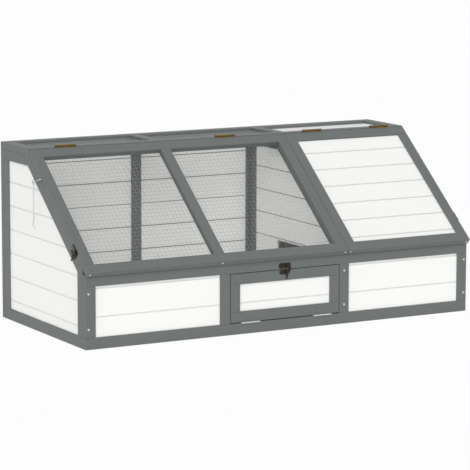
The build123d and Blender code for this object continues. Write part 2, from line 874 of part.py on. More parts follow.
door_latch_face = front_plane(place(door_latch_centre), door_latch_seam)
lid_latch_y, lid_latch_z = slope_point(lid_latch_distance - lid_length, -lid_thickness)
lid_latch_right = (0, -cos(lid_angle), -sin(lid_angle))
lid_latch_face = Plane(origin=(left, lid_latch_y, lid_latch_z), x_dir=lid_latch_right, z_dir=(-1, 0, 0))

with BuildPart() as door_latch_plate:
    latch_base(door_latch_face, latch_small_plate_place, latch_small_plate, latch_lower_stud)
keep(door_latch_plate, "door_latch_plate")

with BuildPart() as door_latch_arm:
    latch_arm(door_latch_face, latch_lower_stud, latch_upper_stud)
keep(door_latch_arm, "door_latch_arm")

with BuildPart() as left_latch_plate:
    latch_base(lid_latch_face, latch_wide_plate_place, latch_wide_plate, latch_upper_stud)
keep(left_latch_plate, "left_latch_plate")

with BuildPart() as left_latch_arm:
    latch_arm(lid_latch_face, latch_upper_stud, latch_lower_stud)
keep(left_latch_arm, "left_latch_arm")

with BuildPart() as left_latch_keeper:
    latch_half(lid_latch_face, latch_small_plate_place, latch_small_plate, latch_lower_stud)

with BuildPart() as latch_keepers:
    latch_half(door_latch_face, latch_wide_plate_place, latch_wide_plate, latch_upper_stud)
    add(left_latch_keeper.part)
    add(mirror(left_latch_keeper.part, about=Plane.YZ, mode=Mode.PRIVATE))
keep(latch_keepers, "latch_keepers")

with BuildPart() as right_latch_plate:
    add(mirror(left_latch_plate.part, about=Plane.YZ, mode=Mode.PRIVATE))
keep(right_latch_plate, "right_latch_plate")

with BuildPart() as right_latch_arm:
    add(mirror(left_latch_arm.part, about=Plane.YZ, mode=Mode.PRIVATE))
keep(right_latch_arm, "right_latch_arm")

# Stay hooks. Each hangs by its loop from the lowest wire of a screw eye in the side's sloping rail.
hook_x = left - side_eye_reach
hook_pivot_z = side_eye_z - eye_ring_radius
hook_loop_z = hook_pivot_z + eye_wire_radius + hook_wire_radius + hook_link_gap - hook_loop_radius
hook_loop_plane = Plane(origin=(hook_x, side_eye_y, hook_loop_z), x_dir=(0, 1, 0), z_dir=(1, 0, 0))
hook_rod_top = hook_loop_z - hook_loop_radius
hook_rod_low = hook_rod_top - hook_rod_length
hook_bend_low = hook_rod_low - hook_jog_drop
hook_rod = ((side_eye_y, hook_rod_top), (side_eye_y, hook_rod_low))
hook_bend = (side_eye_y + hook_jog, hook_bend_low)
hook_crook = (hook_bend, (hook_bend[0] - hook_peg_reach, hook_bend_low - hook_peg_drop))

with BuildPart() as side_eyes:
    screw_eye(left_side_eye_seat, side_eye_reach)
    screw_eye(right_side_eye_seat, side_eye_reach)
keep(side_eyes, "side_eyes")

with BuildPart() as left_lid_eye:
    screw_eye(left_lid_eye_seat, lid_eye_reach)
keep(left_lid_eye, "left_lid_eye")

with BuildPart() as right_lid_eye:
    screw_eye(right_lid_eye_seat, lid_eye_reach)
keep(right_lid_eye, "right_lid_eye")

with BuildPart() as left_stay_hook:
    wire_ring(hook_loop_plane, hook_loop_radius, hook_wire_radius)
    with BuildLine(side_plane(hook_x)) as hook_route:
        Polyline(*hook_rod, *hook_crook)
    with BuildSketch(Plane(origin=hook_route.line @ 0, x_dir=(1, 0, 0), z_dir=(0, 0, -1))):
        stock(hook_wire_radius)
    sweep(path=hook_route.line, transition=Transition.RIGHT)
keep(left_stay_hook, "left_stay_hook")

with BuildPart() as right_stay_hook:
    add(mirror(left_stay_hook.part, about=Plane.YZ, mode=Mode.PRIVATE))
keep(right_stay_hook, "right_stay_hook")
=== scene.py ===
"""Looks of a tortoise enclosure: paint, wire, hinges, latches, stays, screws and the stage round them."""

from math import acos, ceil, cos, degrees, hypot, pi, radians, sin, sqrt

import bmesh
import bpy
from bpy.props import FloatProperty, FloatVectorProperty, IntProperty, PointerProperty
from mathutils import Matrix, Vector


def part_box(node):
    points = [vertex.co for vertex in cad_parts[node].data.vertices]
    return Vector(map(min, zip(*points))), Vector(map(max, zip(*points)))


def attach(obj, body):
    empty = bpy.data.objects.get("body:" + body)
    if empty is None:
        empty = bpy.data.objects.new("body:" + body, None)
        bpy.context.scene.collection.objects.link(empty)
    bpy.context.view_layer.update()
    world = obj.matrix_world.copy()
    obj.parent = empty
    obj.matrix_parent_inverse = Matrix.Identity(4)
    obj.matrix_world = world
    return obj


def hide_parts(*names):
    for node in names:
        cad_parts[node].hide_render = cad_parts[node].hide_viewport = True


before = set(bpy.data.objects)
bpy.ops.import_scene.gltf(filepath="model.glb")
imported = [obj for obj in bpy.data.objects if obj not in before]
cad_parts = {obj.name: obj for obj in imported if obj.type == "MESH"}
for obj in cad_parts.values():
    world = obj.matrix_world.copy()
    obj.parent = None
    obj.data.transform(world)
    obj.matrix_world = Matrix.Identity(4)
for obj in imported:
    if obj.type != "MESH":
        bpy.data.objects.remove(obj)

bl_info = {
    "name": "Tortoise enclosure",
    "version": (1, 0, 0),
    "blender": (4, 5, 0),
    "location": "3D View > Sidebar > Enclosure",
    "description": "Dresses the frame of a tortoise enclosure and sets its stage",
    "category": "Object",
}

# Places in the frame, in millimetres.
FRONT = -315.0993
HALF_LENGTH = 725.0
SLOPE_TOP = Vector((0, 103.9007, 600))
SLOPE_ANGLE = radians(38.3987)
LID_LENGTH = 560.6975
LID_THICKNESS = 20.0
ALONG_SLOPE = Vector((0, cos(SLOPE_ANGLE), sin(SLOPE_ANGLE)))
OFF_SLOPE = Vector((0, -sin(SLOPE_ANGLE), cos(SLOPE_ANGLE)))
LID_AXIS = Vector((0, 102.4007, 603.8))
LID_HINGE_CENTRES = (-594.0, 6.0, 352.0, 625.0)
LEFT_LID_HINGES = 2
DOOR_AXIS = Vector((0, -318.3993, 38))
DOOR_HINGE_CENTRES = (-126.5, 147.0)
DOOR_LATCH = Vector((6, FRONT, 205))
LID_LATCH = SLOPE_TOP + ALONG_SLOPE * (109 - LID_LENGTH) - OFF_SLOPE * LID_THICKNESS
SIDE_EYE = Vector((741, 36.7207, 501.7139))
LID_EYE = Vector((731.6, 6.1158, 509.74))
EYE_SHANK = 12.0
SIDE_EYE_THREAD = 7.7
HOOK_LINK_GAP = 0.5
BORE_CLEARANCE = 0.05

# Direction of the grain in each painted piece of timber, and how its boards are stacked.
FRAME_GRAIN = {
    "X": (
        "front_bottom_rail", "front_top_rail", "back_rails", "top_rails", "left_lid_rails", "right_lid_rails",
        "door_rails",
    ),
    "Y": (
        "left_side_bottom_rail", "right_side_bottom_rail", "left_side_top_rail", "right_side_top_rail",
        "divider_rails", "divider_top_rail", "top_bars",
    ),
    "Z": (
        "front_end_stiles", "front_door_posts", "back_posts", "left_side_posts", "right_side_posts",
        "divider_posts", "door_stiles",
    ),
    "slope": ("left_side_slope_rail", "right_side_slope_rail", "left_lid_stiles", "right_lid_stiles"),
}
# Half the width of the painted shade at a joint between boards, in metres, and the share of the paint's
# brightness left in it there.
FAINT_JOINT_SHADE = (0.0048, 0.88)
SOFT_JOINT_SHADE = (0.0044, 0.74)
DARK_JOINT_SHADE = (0.0022, 0.16)
# Nodes, direction of the grain, direction in which the boards are stacked, first joint and pitch in metres,
# and the painted shade of the joints.
BOARD_STACKS = {
    "front": (
        ("front_left_boards", "front_right_boards", "door_boards"), "X", "Z", 0.103, 0.092, FAINT_JOINT_SHADE,
    ),
    "side": (("left_side_boards", "right_side_boards"), "Y", "Z", 0.0684, 0.0801, FAINT_JOINT_SHADE),
    "divider": (("divider_boards",), "Y", "Z", 0.0684, 0.0801, DARK_JOINT_SHADE),
    "back": (("back_boards",), "X", "Z", 0.117, 0.08, DARK_JOINT_SHADE),
    "lid": (("right_lid_boards",), "X", "slope", -0.0471, 0.08, SOFT_JOINT_SHADE),
    "top": (("top_boards",), "X", "Y", 0.0, 0.08, None),
}
# How much closer the paint's streaks lie across the grain than along it.
STRETCH = {"X": (1, 14, 14), "Y": (14, 1, 14), "Z": (14, 14, 1), "slope": (14, 1, 14)}

# Middles of the two studs of a latch, and the middle and size of each plate, in millimetres in its own plane.
UPPER_STUD = (6.0, 10.0)
LOWER_STUD = (4.0, -11.0)
WIDE_PLATE = ((-2.5, 10.5), (45.0, 18.0))
SMALL_PLATE = ((-3.0, -11.0), (38.0, 15.0))

# The camera's axes, and where the two wide lamps stand.
CAMERA_RIGHT = Vector((0.87509914, -0.48393923, 0.00207703))
CAMERA_UP = Vector((0.07318364, 0.13657683, 0.98792253))
KEY_LAMP = Vector((-0.35, -0.8, 0.5))
SIDE_LAMP = Vector((-1, -0.15, 0.25))
LAMP_DISTANCE = 6.0
LAMP_SPREAD = radians(60)


class EnclosureSizes(bpy.types.PropertyGroup):
    """Sizes of the wire and hardware, in millimetres."""

    wire_rise: FloatProperty(
        name="Wire rise", description="Distance between the wires from end to end", default=15.8
    )
    wire_spacing: FloatProperty(
        name="Wire spacing", description="Distance between the wires from front to back", default=15.1
    )
    wire_radius: FloatProperty(
        name="Wire radius", description="Radius of each wire of the mesh", default=0.35
    )
    sheet_thickness: FloatProperty(
        name="Sheet thickness", description="Thickness of the mesh where two wires cross", default=1.6
    )
    leaf_thickness: FloatProperty(
        name="Leaf thickness", description="Thickness of a hinge leaf", default=1.2
    )
    leaf_clearance: FloatProperty(
        name="Leaf clearance", description="Gap between the closed leaves of a hinge", default=0.6
    )
    pin_radius: FloatProperty(name="Pin radius", description="Radius of a hinge pin", default=1.5)
    lid_knuckle_radius: FloatProperty(
        name="Lid knuckle radius", description="Radius of the barrel of a lid hinge", default=3.5
    )
    lid_hinge_length: FloatProperty(
        name="Lid hinge length", description="Length of a lid hinge", default=76
    )
    door_knuckle_radius: FloatProperty(
        name="Door knuckle radius", description="Radius of the barrel of a door hinge", default=3
    )
    door_hinge_length: FloatProperty(
        name="Door hinge length", description="Length of a door hinge", default=70
    )
    plate_thickness: FloatProperty(
        name="Plate thickness", description="Thickness of a latch plate", default=1.5
    )
    plate_corner: FloatProperty(
        name="Plate corner", description="Radius of a latch plate's corners", default=7
    )
    stud_radius: FloatProperty(name="Stud radius", description="Radius of a latch stud", default=2.2)
    stud_head_radius: FloatProperty(
        name="Stud head radius", description="Radius of the head of a latch stud", default=4
    )
    arm_low: FloatProperty(name="Arm level", description="Height of a latch arm over its timber", default=3)
    arm_thickness: FloatProperty(name="Arm thickness", description="Thickness of a latch arm", default=2.2)
    arm_width: FloatProperty(name="Arm width", description="Width of a latch arm's bow", default=6)
    eye_wire_radius: FloatProperty(
        name="Eye wire radius", description="Radius of a screw eye's wire", default=1.3
    )
    hook_wire_radius: FloatProperty(
        name="Hook wire radius", description="Radius of a stay hook's wire", default=1.6
    )
    ring_radius: FloatProperty(
        name="Ring radius", description="Radius of an eye or a loop, to the middle of its wire", default=5
    )
    screw_head_radius: FloatProperty(
        name="Screw head radius", description="Radius of the heads of the frame's screws", default=3.8
    )
    screw_head_height: FloatProperty(
        name="Screw head height", description="Height of the heads of the frame's screws", default=1.4
    )
    round_sides: IntProperty(name="Round sides", description="Sides of a round wire or disc", default=16)


class EnclosureColours(bpy.types.PropertyGroup):
    """Colours of the paint and metals."""

    frame_paint: FloatVectorProperty(
        name="Frame paint", description="Paint of the frame", subtype="COLOR", default=(0.142, 0.156, 0.151)
    )
    board_paint: FloatVectorProperty(
        name="Board paint", description="Paint of the boards", subtype="COLOR", default=(0.9, 0.905, 0.88)
    )
    galvanised: FloatVectorProperty(
        name="Galvanised wire", description="Zinc coat of the mesh", subtype="COLOR",
        default=(0.42, 0.43, 0.43),
    )
    brass: FloatVectorProperty(
        name="Brass", description="Plating of the lid hinges", subtype="COLOR", default=(0.165, 0.112, 0.038)
    )
    bronze: FloatVectorProperty(
        name="Bronze", description="Dark finish of the latches", subtype="COLOR",
        default=(0.032, 0.024, 0.019),
    )
    zinc: FloatVectorProperty(
        name="Zinc plate", description="Plating of the small steel pieces", subtype="COLOR",
        default=(0.56, 0.57, 0.57),
    )


class EnclosureStage(bpy.types.PropertyGroup):
    """Camera and light."""

    lens: FloatProperty(name="Lens", description="Focal length", default=195.932, unit="CAMERA")
    eye: FloatVectorProperty(
        name="Eye", description="Place of the camera", default=(-4.16961, -7.51666, 1.62213), unit="LENGTH"
    )
    sky_level: FloatProperty(name="Sky level", description="Light from all round", default=0.47)
    key_strength: FloatProperty(
        name="Key strength", description="Strength of the wide lamp at the front", default=1.62
    )
    side_strength: FloatProperty(
        name="Side strength", description="Strength of the wide lamp at the left", default=0.7
    )
    floor_colour: FloatVectorProperty(
        name="Floor colour", description="Colour of the floor", subtype="COLOR", default=(0.97, 0.97, 0.97)
    )


class Field:
    """A shader output that takes part in sums."""

    def __init__(self, tree, socket):
        self.tree = tree
        self.socket = socket

    def _sum(self, operation, first, second):
        return make(self.tree, "Math", {"operation": operation}, {0: first, 1: second})

    def __add__(self, other):
        return self._sum("ADD", self, other)

    def __radd__(self, other):
        return self._sum("ADD", other, self)

    def __sub__(self, other):
        return self._sum("SUBTRACT", self, other)

    def __rsub__(self, other):
        return self._sum("SUBTRACT", other, self)

    def __mul__(self, other):
        return self._sum("MULTIPLY", self, other)

    def __truediv__(self, other):
        return self._sum("DIVIDE", self, other)

    def floor(self):
        """The whole number below."""
        return self._sum("FLOOR", self, 0.0)

    def fraction(self):
        """What is left over the whole number below."""
        return self._sum("FRACT", self, 0.0)

    def size(self):
        """The number without its sign."""
        return self._sum("ABSOLUTE", self, 0.0)


def make(tree, kind, settings, inputs, output=0):
    """Add a node with its settings and inputs, and return one of its outputs."""
    node = tree.nodes.new("ShaderNode" + kind)
    for name, value in settings.items():
        setattr(node, name, value)
    for name, value in inputs.items():
        if isinstance(value, Field):
            tree.links.new(value.socket, node.inputs[name])
        else:
            node.inputs[name].default_value = value
    return Field(tree, node.outputs[output])


def mix_colour(tree, factor, first, second):
    """A colour between two others."""
    return make(tree, "Mix", {"data_type": "RGBA"}, {0: factor, 6: first, 7: second}, 2)


def noise(tree, vector, scale, detail=2.0, roughness=0.5):
    """Even noise between 0 and 1."""
    return make(
        tree, "TexNoise", {}, {"Vector": vector, "Scale": scale, "Detail": detail, "Roughness": roughness}
    )


def between(tree, value, low, high):
    """0 below low, 1 above high, and smooth between."""
    settings = {"interpolation_type": "SMOOTHSTEP"}
    return make(tree, "MapRange", settings, {0: value, 1: low, 2: high, 3: 0.0, 4: 1.0})


def edge_mask(tree, width):
    """1 on edges and 0 on flats."""
    soft = make(tree, "Bevel", {"samples": 6}, {"Radius": width})
    flat = make(tree, "NewGeometry", {}, {}, "Normal")
    likeness = make(tree, "VectorMath", {"operation": "DOT_PRODUCT"}, {0: soft, 1: flat}, "Value")
    return between(tree, 1.0 - likeness, 0.01, 0.2)


def shade(colour, factor):
    """A colour made lighter or darker, with full alpha."""
    return tuple(channel * factor for channel in colour) + (1.0,)


def new_material(name):
    """An empty material, its node tree and its shader."""
    material = bpy.data.materials.new(name)
    material.use_nodes = True
    return material, material.node_tree, material.node_tree.nodes["Principled BSDF"]


def connect(tree, shader, **values):
    """Link or set sockets of the shader, whose names are written with underscores."""
    for name, value in values.items():
        socket = shader.inputs[name.replace("_", " ")]
        if isinstance(value, Field):
            tree.links.new(value.socket, socket)
        else:
            socket.default_value = value


def painted(name, colour, grain, coat, stack=None):
    """Brushed paint over timber whose grain runs one way. A stack gives each board a tone of its own and
    painted shade in its joints, and edges get a painted highlight or a worn tint from the coat.
    """
    material, tree, shader = new_material(name)
    place = make(tree, "TexCoord", {}, {}, "Object")
    sloped = make(
        tree, "VectorRotate", {"rotation_type": "X_AXIS"}, {"Vector": place, "Angle": -SLOPE_ANGLE}
    )
    along = sloped if grain == "slope" else place
    board_tone = 0.5
    joint_shade_mask = 0.0
    joint_shade = 1.0
    if stack:
        axis, first, pitch, groove = stack
        source = sloped if axis == "slope" else place
        height = make(tree, "SeparateXYZ", {}, {0: source}, "Y" if axis in ("slope", "Y") else "Z")
        board = ((height - first) / pitch).floor()
        board_tone = make(tree, "TexWhiteNoise", {"noise_dimensions": "1D"}, {"W": board + 0.37})
        # Painted shade: near each joint the paint is darkened, standing in for the shade that falls into the
        # groove between boards.
        if groove:
            half_width, joint_shade = groove
            away = (((height - first) / pitch + 0.5).fraction() - 0.5).size() * pitch
            joint_shade_mask = 1.0 - between(tree, away, half_width * 0.25, half_width)
        shift = make(tree, "CombineXYZ", {}, {0: board * 3.1, 1: board * 1.7, 2: board * 2.3})
        along = make(tree, "VectorMath", {"operation": "ADD"}, {0: along, 1: shift})
    stretched = make(tree, "VectorMath", {"operation": "MULTIPLY"}, {0: along, 1: STRETCH[grain]})
    streaks = noise(tree, stretched, scale=9.0, detail=4.0, roughness=0.6)
    fibres = noise(tree, stretched, scale=55.0, detail=3.0, roughness=0.6)
    clouds = noise(tree, place, scale=3.5)
    specks = noise(tree, place, scale=420.0)
    tone = streaks * 0.4 + fibres * 0.2 + clouds * 0.3 + board_tone * 0.25 - 0.08
    plain = mix_colour(tree, tone, shade(colour, 1.0 - coat["tone"]), shade(colour, 1.0 + coat["tone"]))
    # Edges take the coat's edge colour in patches: on the frame a lighter painted highlight, on the boards a
    # darker worn tint.
    edge_patches = between(tree, clouds * 0.5 + specks * 0.5, 0.35, 0.65)
    edge_wear_and_highlight = edge_mask(tree, width=0.0014) * edge_patches * coat["edge_wear_and_highlight_strength"]
    surface = mix_colour(tree, edge_wear_and_highlight, plain, coat["edge_wear_and_highlight"])
    brushed = fibres * 0.7 + streaks * 0.6 + specks * 0.12
    connect(
        tree, shader,
        Base_Color=mix_colour(tree, joint_shade_mask, surface, shade(colour, joint_shade)),
        Roughness=coat["roughness"] + (fibres - 0.5) * 0.16 + edge_wear_and_highlight * 0.1,
        Specular_IOR_Level=0.25,
        Normal=make(
            tree, "Bump", {}, {"Strength": coat["relief"], "Distance": 0.0006, "Height": brushed}
        ),
    )
    return material


def plated(name, colour, roughness, metallic, grime, edge_highlight_share):
    """Plated or coated metal with a fine mottle, and a painted highlight that makes its edges brighter than
    its flats.
    """
    material, tree, shader = new_material(name)
    place = make(tree, "TexCoord", {}, {}, "Object")
    mottle = noise(tree, place, scale=260.0, detail=3.0)
    grain = noise(tree, place, scale=1500.0)
    dull = mix_colour(tree, mottle, shade(colour, 1.0 - grime), shade(colour, 1.0 + grime))
    # Painted highlight: along the edges the colour is lightened towards nearly twice its brightness.
    painted_edge_highlight = edge_mask(tree, width=0.0005) * (0.4 + mottle * 0.6)
    connect(
        tree, shader,
        Base_Color=mix_colour(tree, painted_edge_highlight * edge_highlight_share, dull, shade(colour, 1.9)),
        Metallic=metallic,
        Roughness=roughness + (mottle - 0.5) * 0.25 - painted_edge_highlight * 0.1,
        Normal=make(
            tree, "Bump", {}, {"Strength": 0.12, "Distance": 0.0001, "Height": mottle * 0.6 + grain * 0.4}
        ),
    )
    return material


def wire_coat(name, colour):
    """Hot dipped zinc on thin wire: grey, with the patches of its crystals."""
    material, tree, shader = new_material(name)
    place = make(tree, "TexCoord", {}, {}, "Object")
    crystals = make(tree, "TexVoronoi", {}, {"Vector": place, "Scale": 220.0}, "Color")
    patch = make(tree, "SeparateColor", {}, {0: crystals}, 0)
    runs = noise(tree, place, scale=60.0, detail=3.0)
    tone = patch * 0.5 + runs * 0.5
    connect(
        tree, shader,
        Base_Color=mix_colour(tree, tone, shade(colour, 0.82), shade(colour, 1.18)),
        Metallic=0.55,
        Roughness=0.42 + patch * 0.2,
        Normal=make(tree, "Bump", {}, {"Strength": 0.2, "Distance": 0.0001, "Height": tone}),
    )
    return material


def material_for(key):
    """The metal of a material slot of the record, made once."""
    name = key + "_finish"
    if name in bpy.data.materials:
        return bpy.data.materials[name]
    colours = bpy.context.scene.enclosure_colours
    if key == "galvanised_mesh":
        return wire_coat(name, colours.galvanised)
    if key == "brass_hinges":
        return plated(name, colours.brass, roughness=0.42, metallic=0.85, grime=0.22, edge_highlight_share=0.5)
    if key == "bronze_latches":
        return plated(name, colours.bronze, roughness=0.4, metallic=0.75, grime=0.35, edge_highlight_share=0.8)
    if key == "zinc_plated_steel":
        return plated(name, colours.zinc, roughness=0.34, metallic=0.9, grime=0.12, edge_highlight_share=0.3)
    raise ValueError("no finish is written for the slot " + key)


def seat(origin, right, out):
    """Matrix on a surface, whose X runs right and whose Z faces out."""
    right = Vector(right).normalized()
    out = Vector(out).normalized()
    turn = Matrix((right, out.cross(right), out)).transposed().to_4x4()
    return Matrix.Translation(origin) @ turn


def add_block(mesh, low, high):
    """Add a box between two corners, and return its corners."""
    low = Vector(low)
    high = Vector(high)
    size = Matrix.Diagonal(high - low).to_4x4()
    return bmesh.ops.create_cube(mesh, size=1, matrix=Matrix.Translation((low + high) / 2) @ size)["verts"]


def add_rod(mesh, start, end, radius, sides):
    """Add a straight round rod."""
    start = Vector(start)
    end = Vector(end)
    turn = (end - start).to_track_quat("Z", "Y").to_matrix().to_4x4()
    bmesh.ops.create_cone(
        mesh, cap_ends=True, segments=sides, radius1=radius, radius2=radius, depth=(end - start).length,
        matrix=Matrix.Translation((start + end) / 2) @ turn,
    )


def ease_edges(mesh, offset, segments=2):
    """Round the sharp edges."""
    sharp = [
        edge for edge in mesh.edges if len(edge.link_faces) == 2 and edge.calc_face_angle() > radians(35)
    ]
    bmesh.ops.bevel(
        mesh, geom=sharp, offset=offset, affect="EDGES", segments=segments, profile=0.5, material=-1,
        clamp_overlap=True,
    )


def combine(base, tool, operation):
    """Join two meshes into one skin or cut one with the other, and return the result."""
    items = []
    for source in (base, tool):
        bmesh.ops.recalc_face_normals(source, faces=source.faces)
        data = bpy.data.meshes.new("work")
        source.to_mesh(data)
        source.free()
        item = bpy.data.objects.new("work", data)
        bpy.context.scene.collection.objects.link(item)
        items.append(item)
    modifier = items[0].modifiers.new("work", "BOOLEAN")
    modifier.operation = operation
    modifier.solver = "EXACT"
    modifier.use_self = True
    modifier.object = items[1]
    result = bmesh.new()
    result.from_mesh(items[0].evaluated_get(bpy.context.evaluated_depsgraph_get()).to_mesh())
    for item in items:
        data = item.data
        bpy.data.objects.remove(item)
        bpy.data.meshes.remove(data)
    bmesh.ops.remove_doubles(result, verts=result.verts, dist=0.001)
    return result


def stamp(mesh, pattern, place):
    """Add a copy of a finished pattern at a place."""
    copy = pattern.copy()
    bmesh.ops.transform(copy, matrix=place, verts=copy.verts)
    data = bpy.data.meshes.new("work")
    copy.to_mesh(data)
    copy.free()
    mesh.from_mesh(data)
    bpy.data.meshes.remove(data)


def finish_piece(mesh, name, body, slot, replaced):
    """Turn a mesh in millimetres into a piece that rides on a body and stands for some nodes."""
    bmesh.ops.recalc_face_normals(mesh, faces=mesh.faces)
    bmesh.ops.scale(mesh, vec=(0.001, 0.001, 0.001), verts=mesh.verts)
    data = bpy.data.meshes.new(name)
    mesh.to_mesh(data)
    mesh.free()
    data.polygons.foreach_set("use_smooth", [True] * len(data.polygons))
    data.set_sharp_from_angle(angle=radians(40))
    data.materials.append(material_for(slot))
    piece = bpy.data.objects.new(name, data)
    bpy.context.scene.collection.objects.link(piece)
    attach(piece, body)
    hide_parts(*replaced)


class Wire:
    """Round stock that is drawn forward by steps and turns in one plane."""

    DEGREES_A_STEP = 14

    def __init__(self, mesh, start, heading, normal, radius, sides):
        self.mesh = mesh
        self.point = Vector(start)
        self.heading = Vector(heading).normalized()
        self.normal = Vector(normal).normalized()
        self.radius = radius
        turn = self.heading.to_track_quat("Z", "Y").to_matrix().to_4x4()
        circle = bmesh.ops.create_circle(
            mesh, cap_ends=True, segments=sides, radius=radius, matrix=Matrix.Translation(self.point) @ turn
        )["verts"]
        self.ring = list({edge for vert in circle for edge in vert.link_edges})

    def step(self, advance, radius=None):
        """Go forward, and change to another radius on the way."""
        grown = bmesh.ops.extrude_edge_only(self.mesh, edges=self.ring)["geom"]
        verts = [item for item in grown if isinstance(item, bmesh.types.BMVert)]
        fresh = set(verts)
        self.ring = [
            item for item in grown if isinstance(item, bmesh.types.BMEdge) and set(item.verts) <= fresh
        ]
        bmesh.ops.translate(self.mesh, vec=self.heading * advance, verts=verts)
        self.point = self.point + self.heading * advance
        if radius is not None:
            factor = radius / self.radius
            bmesh.ops.scale(
                self.mesh, vec=(factor, factor, factor), space=Matrix.Translation(-self.point), verts=verts
            )
            self.radius = radius
        return self

    def turn(self, angle, radius):
        """Bend by some degrees, to the left where the angle is above 0."""
        amount = radians(angle)
        side = self.normal.cross(self.heading) * (1 if angle > 0 else -1)
        centre = self.point + side * radius
        spun = bmesh.ops.spin(
            self.mesh, geom=self.ring, cent=centre, axis=self.normal, angle=amount,
            steps=max(2, ceil(abs(angle) / self.DEGREES_A_STEP)), use_merge=False, use_duplicate=False,
        )["geom_last"]
        self.ring = [item for item in spun if isinstance(item, bmesh.types.BMEdge)]
        turned = Matrix.Rotation(amount, 3, self.normal)
        self.point = centre + turned @ (self.point - centre)
        self.heading = turned @ self.heading
        middle = sum((vert.co for edge in self.ring for vert in edge.verts), Vector()) / (2 * len(self.ring))
        if (middle - self.point).length > 0.01:
            raise RuntimeError("a wire did not turn the way that it was drawn")
        return self

    def thread(self, length, pitch, depth):
        """Go forward along a screw thread."""
        outer = self.radius
        for _ in range(int(length / pitch)):
            self.step(pitch / 2, outer - depth).step(pitch / 2, outer)
        return self

    def close(self):
        """Round off the end and close it."""
        radius = self.radius
        self.step(radius * 0.3, radius * 0.8).step(radius * 0.15, radius * 0.45)
        bmesh.ops.contextual_create(self.mesh, geom=self.ring)


def round_start(mesh, start, heading, normal, radius, sides):
    """Start a wire with a rounded end."""
    wire = Wire(mesh, start, heading, normal, radius * 0.45, sides)
    return wire.step(radius * 0.15, radius * 0.8).step(radius * 0.3, radius)


def loop_end(wire, ring_radius, bend_radius, gap):
    """Bend a wire's end into a ring whose middle lies straight ahead, and leave a small gap at its neck."""
    bend = degrees(acos(bend_radius / (ring_radius + bend_radius)))
    wire.turn(-bend, bend_radius)
    wire.turn(270 + bend - gap, ring_radius)
    wire.close()


def neck(ring_radius, bend_radius):
    """Distance from a ring's middle to the place where its straight wire starts to bend."""
    return sqrt((ring_radius + bend_radius) ** 2 - bend_radius**2)


def cross_head(radius, height, sides):
    """A domed screw head with a cross recess, facing along Z."""
    head = bmesh.new()
    sunk = 0.4
    dome = Wire(head, (0, 0, -sunk), (0, 0, 1), (0, 1, 0), radius, sides)
    dome.step(sunk + height * 0.35)
    dome.step(height * 0.3, radius * 0.9).step(height * 0.2, radius * 0.7).step(height * 0.15, radius * 0.35)
    bmesh.ops.contextual_create(head, geom=dome.ring)
    cross = bmesh.new()
    arm = radius * 0.55
    slit = radius * 0.12
    depth = height * 0.3
    add_block(cross, (-arm, -slit, depth), (arm, slit, height + 1))
    add_block(cross, (-slit, -arm, depth), (slit, arm, height + 1))
    return combine(head, cross, "DIFFERENCE")


def screw_seats(node, out):
    """Middle of each screw head of a node, on the face that it sits on, in millimetres."""
    out = Vector(out).normalized()
    groups = []
    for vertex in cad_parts[node].data.vertices:
        point = vertex.co * 1000
        flat = point - out * point.dot(out)
        for group in groups:
            if (group[0][0] - flat).length < 10:
                group.append((flat, point.dot(out)))
                break
        else:
            groups.append([(flat, point.dot(out))])
    height = bpy.context.scene.enclosure_sizes.screw_head_height
    seats = []
    for group in groups:
        spans = [[flat[axis] for flat, _ in group] for axis in range(3)]
        middle = Vector([(min(span) + max(span)) / 2 for span in spans])
        seats.append(middle + out * (max(level for _, level in group) - height))
    return seats


def knuckle_spans(node, out, level):
    """Both ends along X of each knuckle of a node, in millimetres."""
    ends = sorted(
        {
            round(vertex.co.x * 1000, 2)
            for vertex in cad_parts[node].data.vertices
            if vertex.co.dot(Vector(out)) * 1000 > level
        }
    )
    return list(zip(ends[::2], ends[1::2]))


def add_leaf(mesh, place, length, radius, reach, spans, head):
    """Add a hinge leaf. Its X runs along the barrel, its Y along the leaf and its Z towards its timber."""
    sizes = bpy.context.scene.enclosure_sizes
    low = sizes.leaf_clearance / 2
    high = low + sizes.leaf_thickness
    sides = sizes.round_sides + 8
    corner = 2
    screw_share = 0.36
    plate = bmesh.new()
    add_block(plate, (-length / 2, radius + 0.5, low), (length / 2, reach, high))
    corners = [
        edge for edge in plate.edges
        if abs(edge.verts[0].co.z - edge.verts[1].co.z) > 1 and edge.verts[0].co.y > radius + 1
    ]
    bmesh.ops.bevel(plate, geom=corners, offset=corner, affect="EDGES", segments=4, profile=0.5, material=-1)
    barrels = bmesh.new()
    for start, end in spans:
        add_block(barrels, (start, 0, low), (end, radius + 1.5, high))
        add_rod(barrels, (start, 0, 0), (end, 0, 0), radius, sides)
    leaf = combine(plate, barrels, "UNION")
    bore = bmesh.new()
    add_rod(bore, (-length, 0, 0), (length, 0, 0), sizes.pin_radius + BORE_CLEARANCE, sides)
    leaf = combine(leaf, bore, "DIFFERENCE")
    ease_edges(leaf, offset=0.18)
    for x in (-screw_share * length, 0, screw_share * length):
        middle = Matrix.Translation((x, (radius + reach) / 2 + 1, low))
        stamp(leaf, head, middle @ Matrix.Rotation(pi, 4, "X"))
    stamp(mesh, leaf, place)
    leaf.free()


def add_pin(mesh, axis, centre, length):
    """Add a hinge pin along X with rounded ends."""
    sizes = bpy.context.scene.enclosure_sizes
    start = Vector((centre - length / 2, axis.y, axis.z))
    pin = round_start(mesh, start, (1, 0, 0), (0, 0, 1), sizes.pin_radius, sizes.round_sides)
    pin.step(length - sizes.pin_radius * 0.9)
    pin.close()


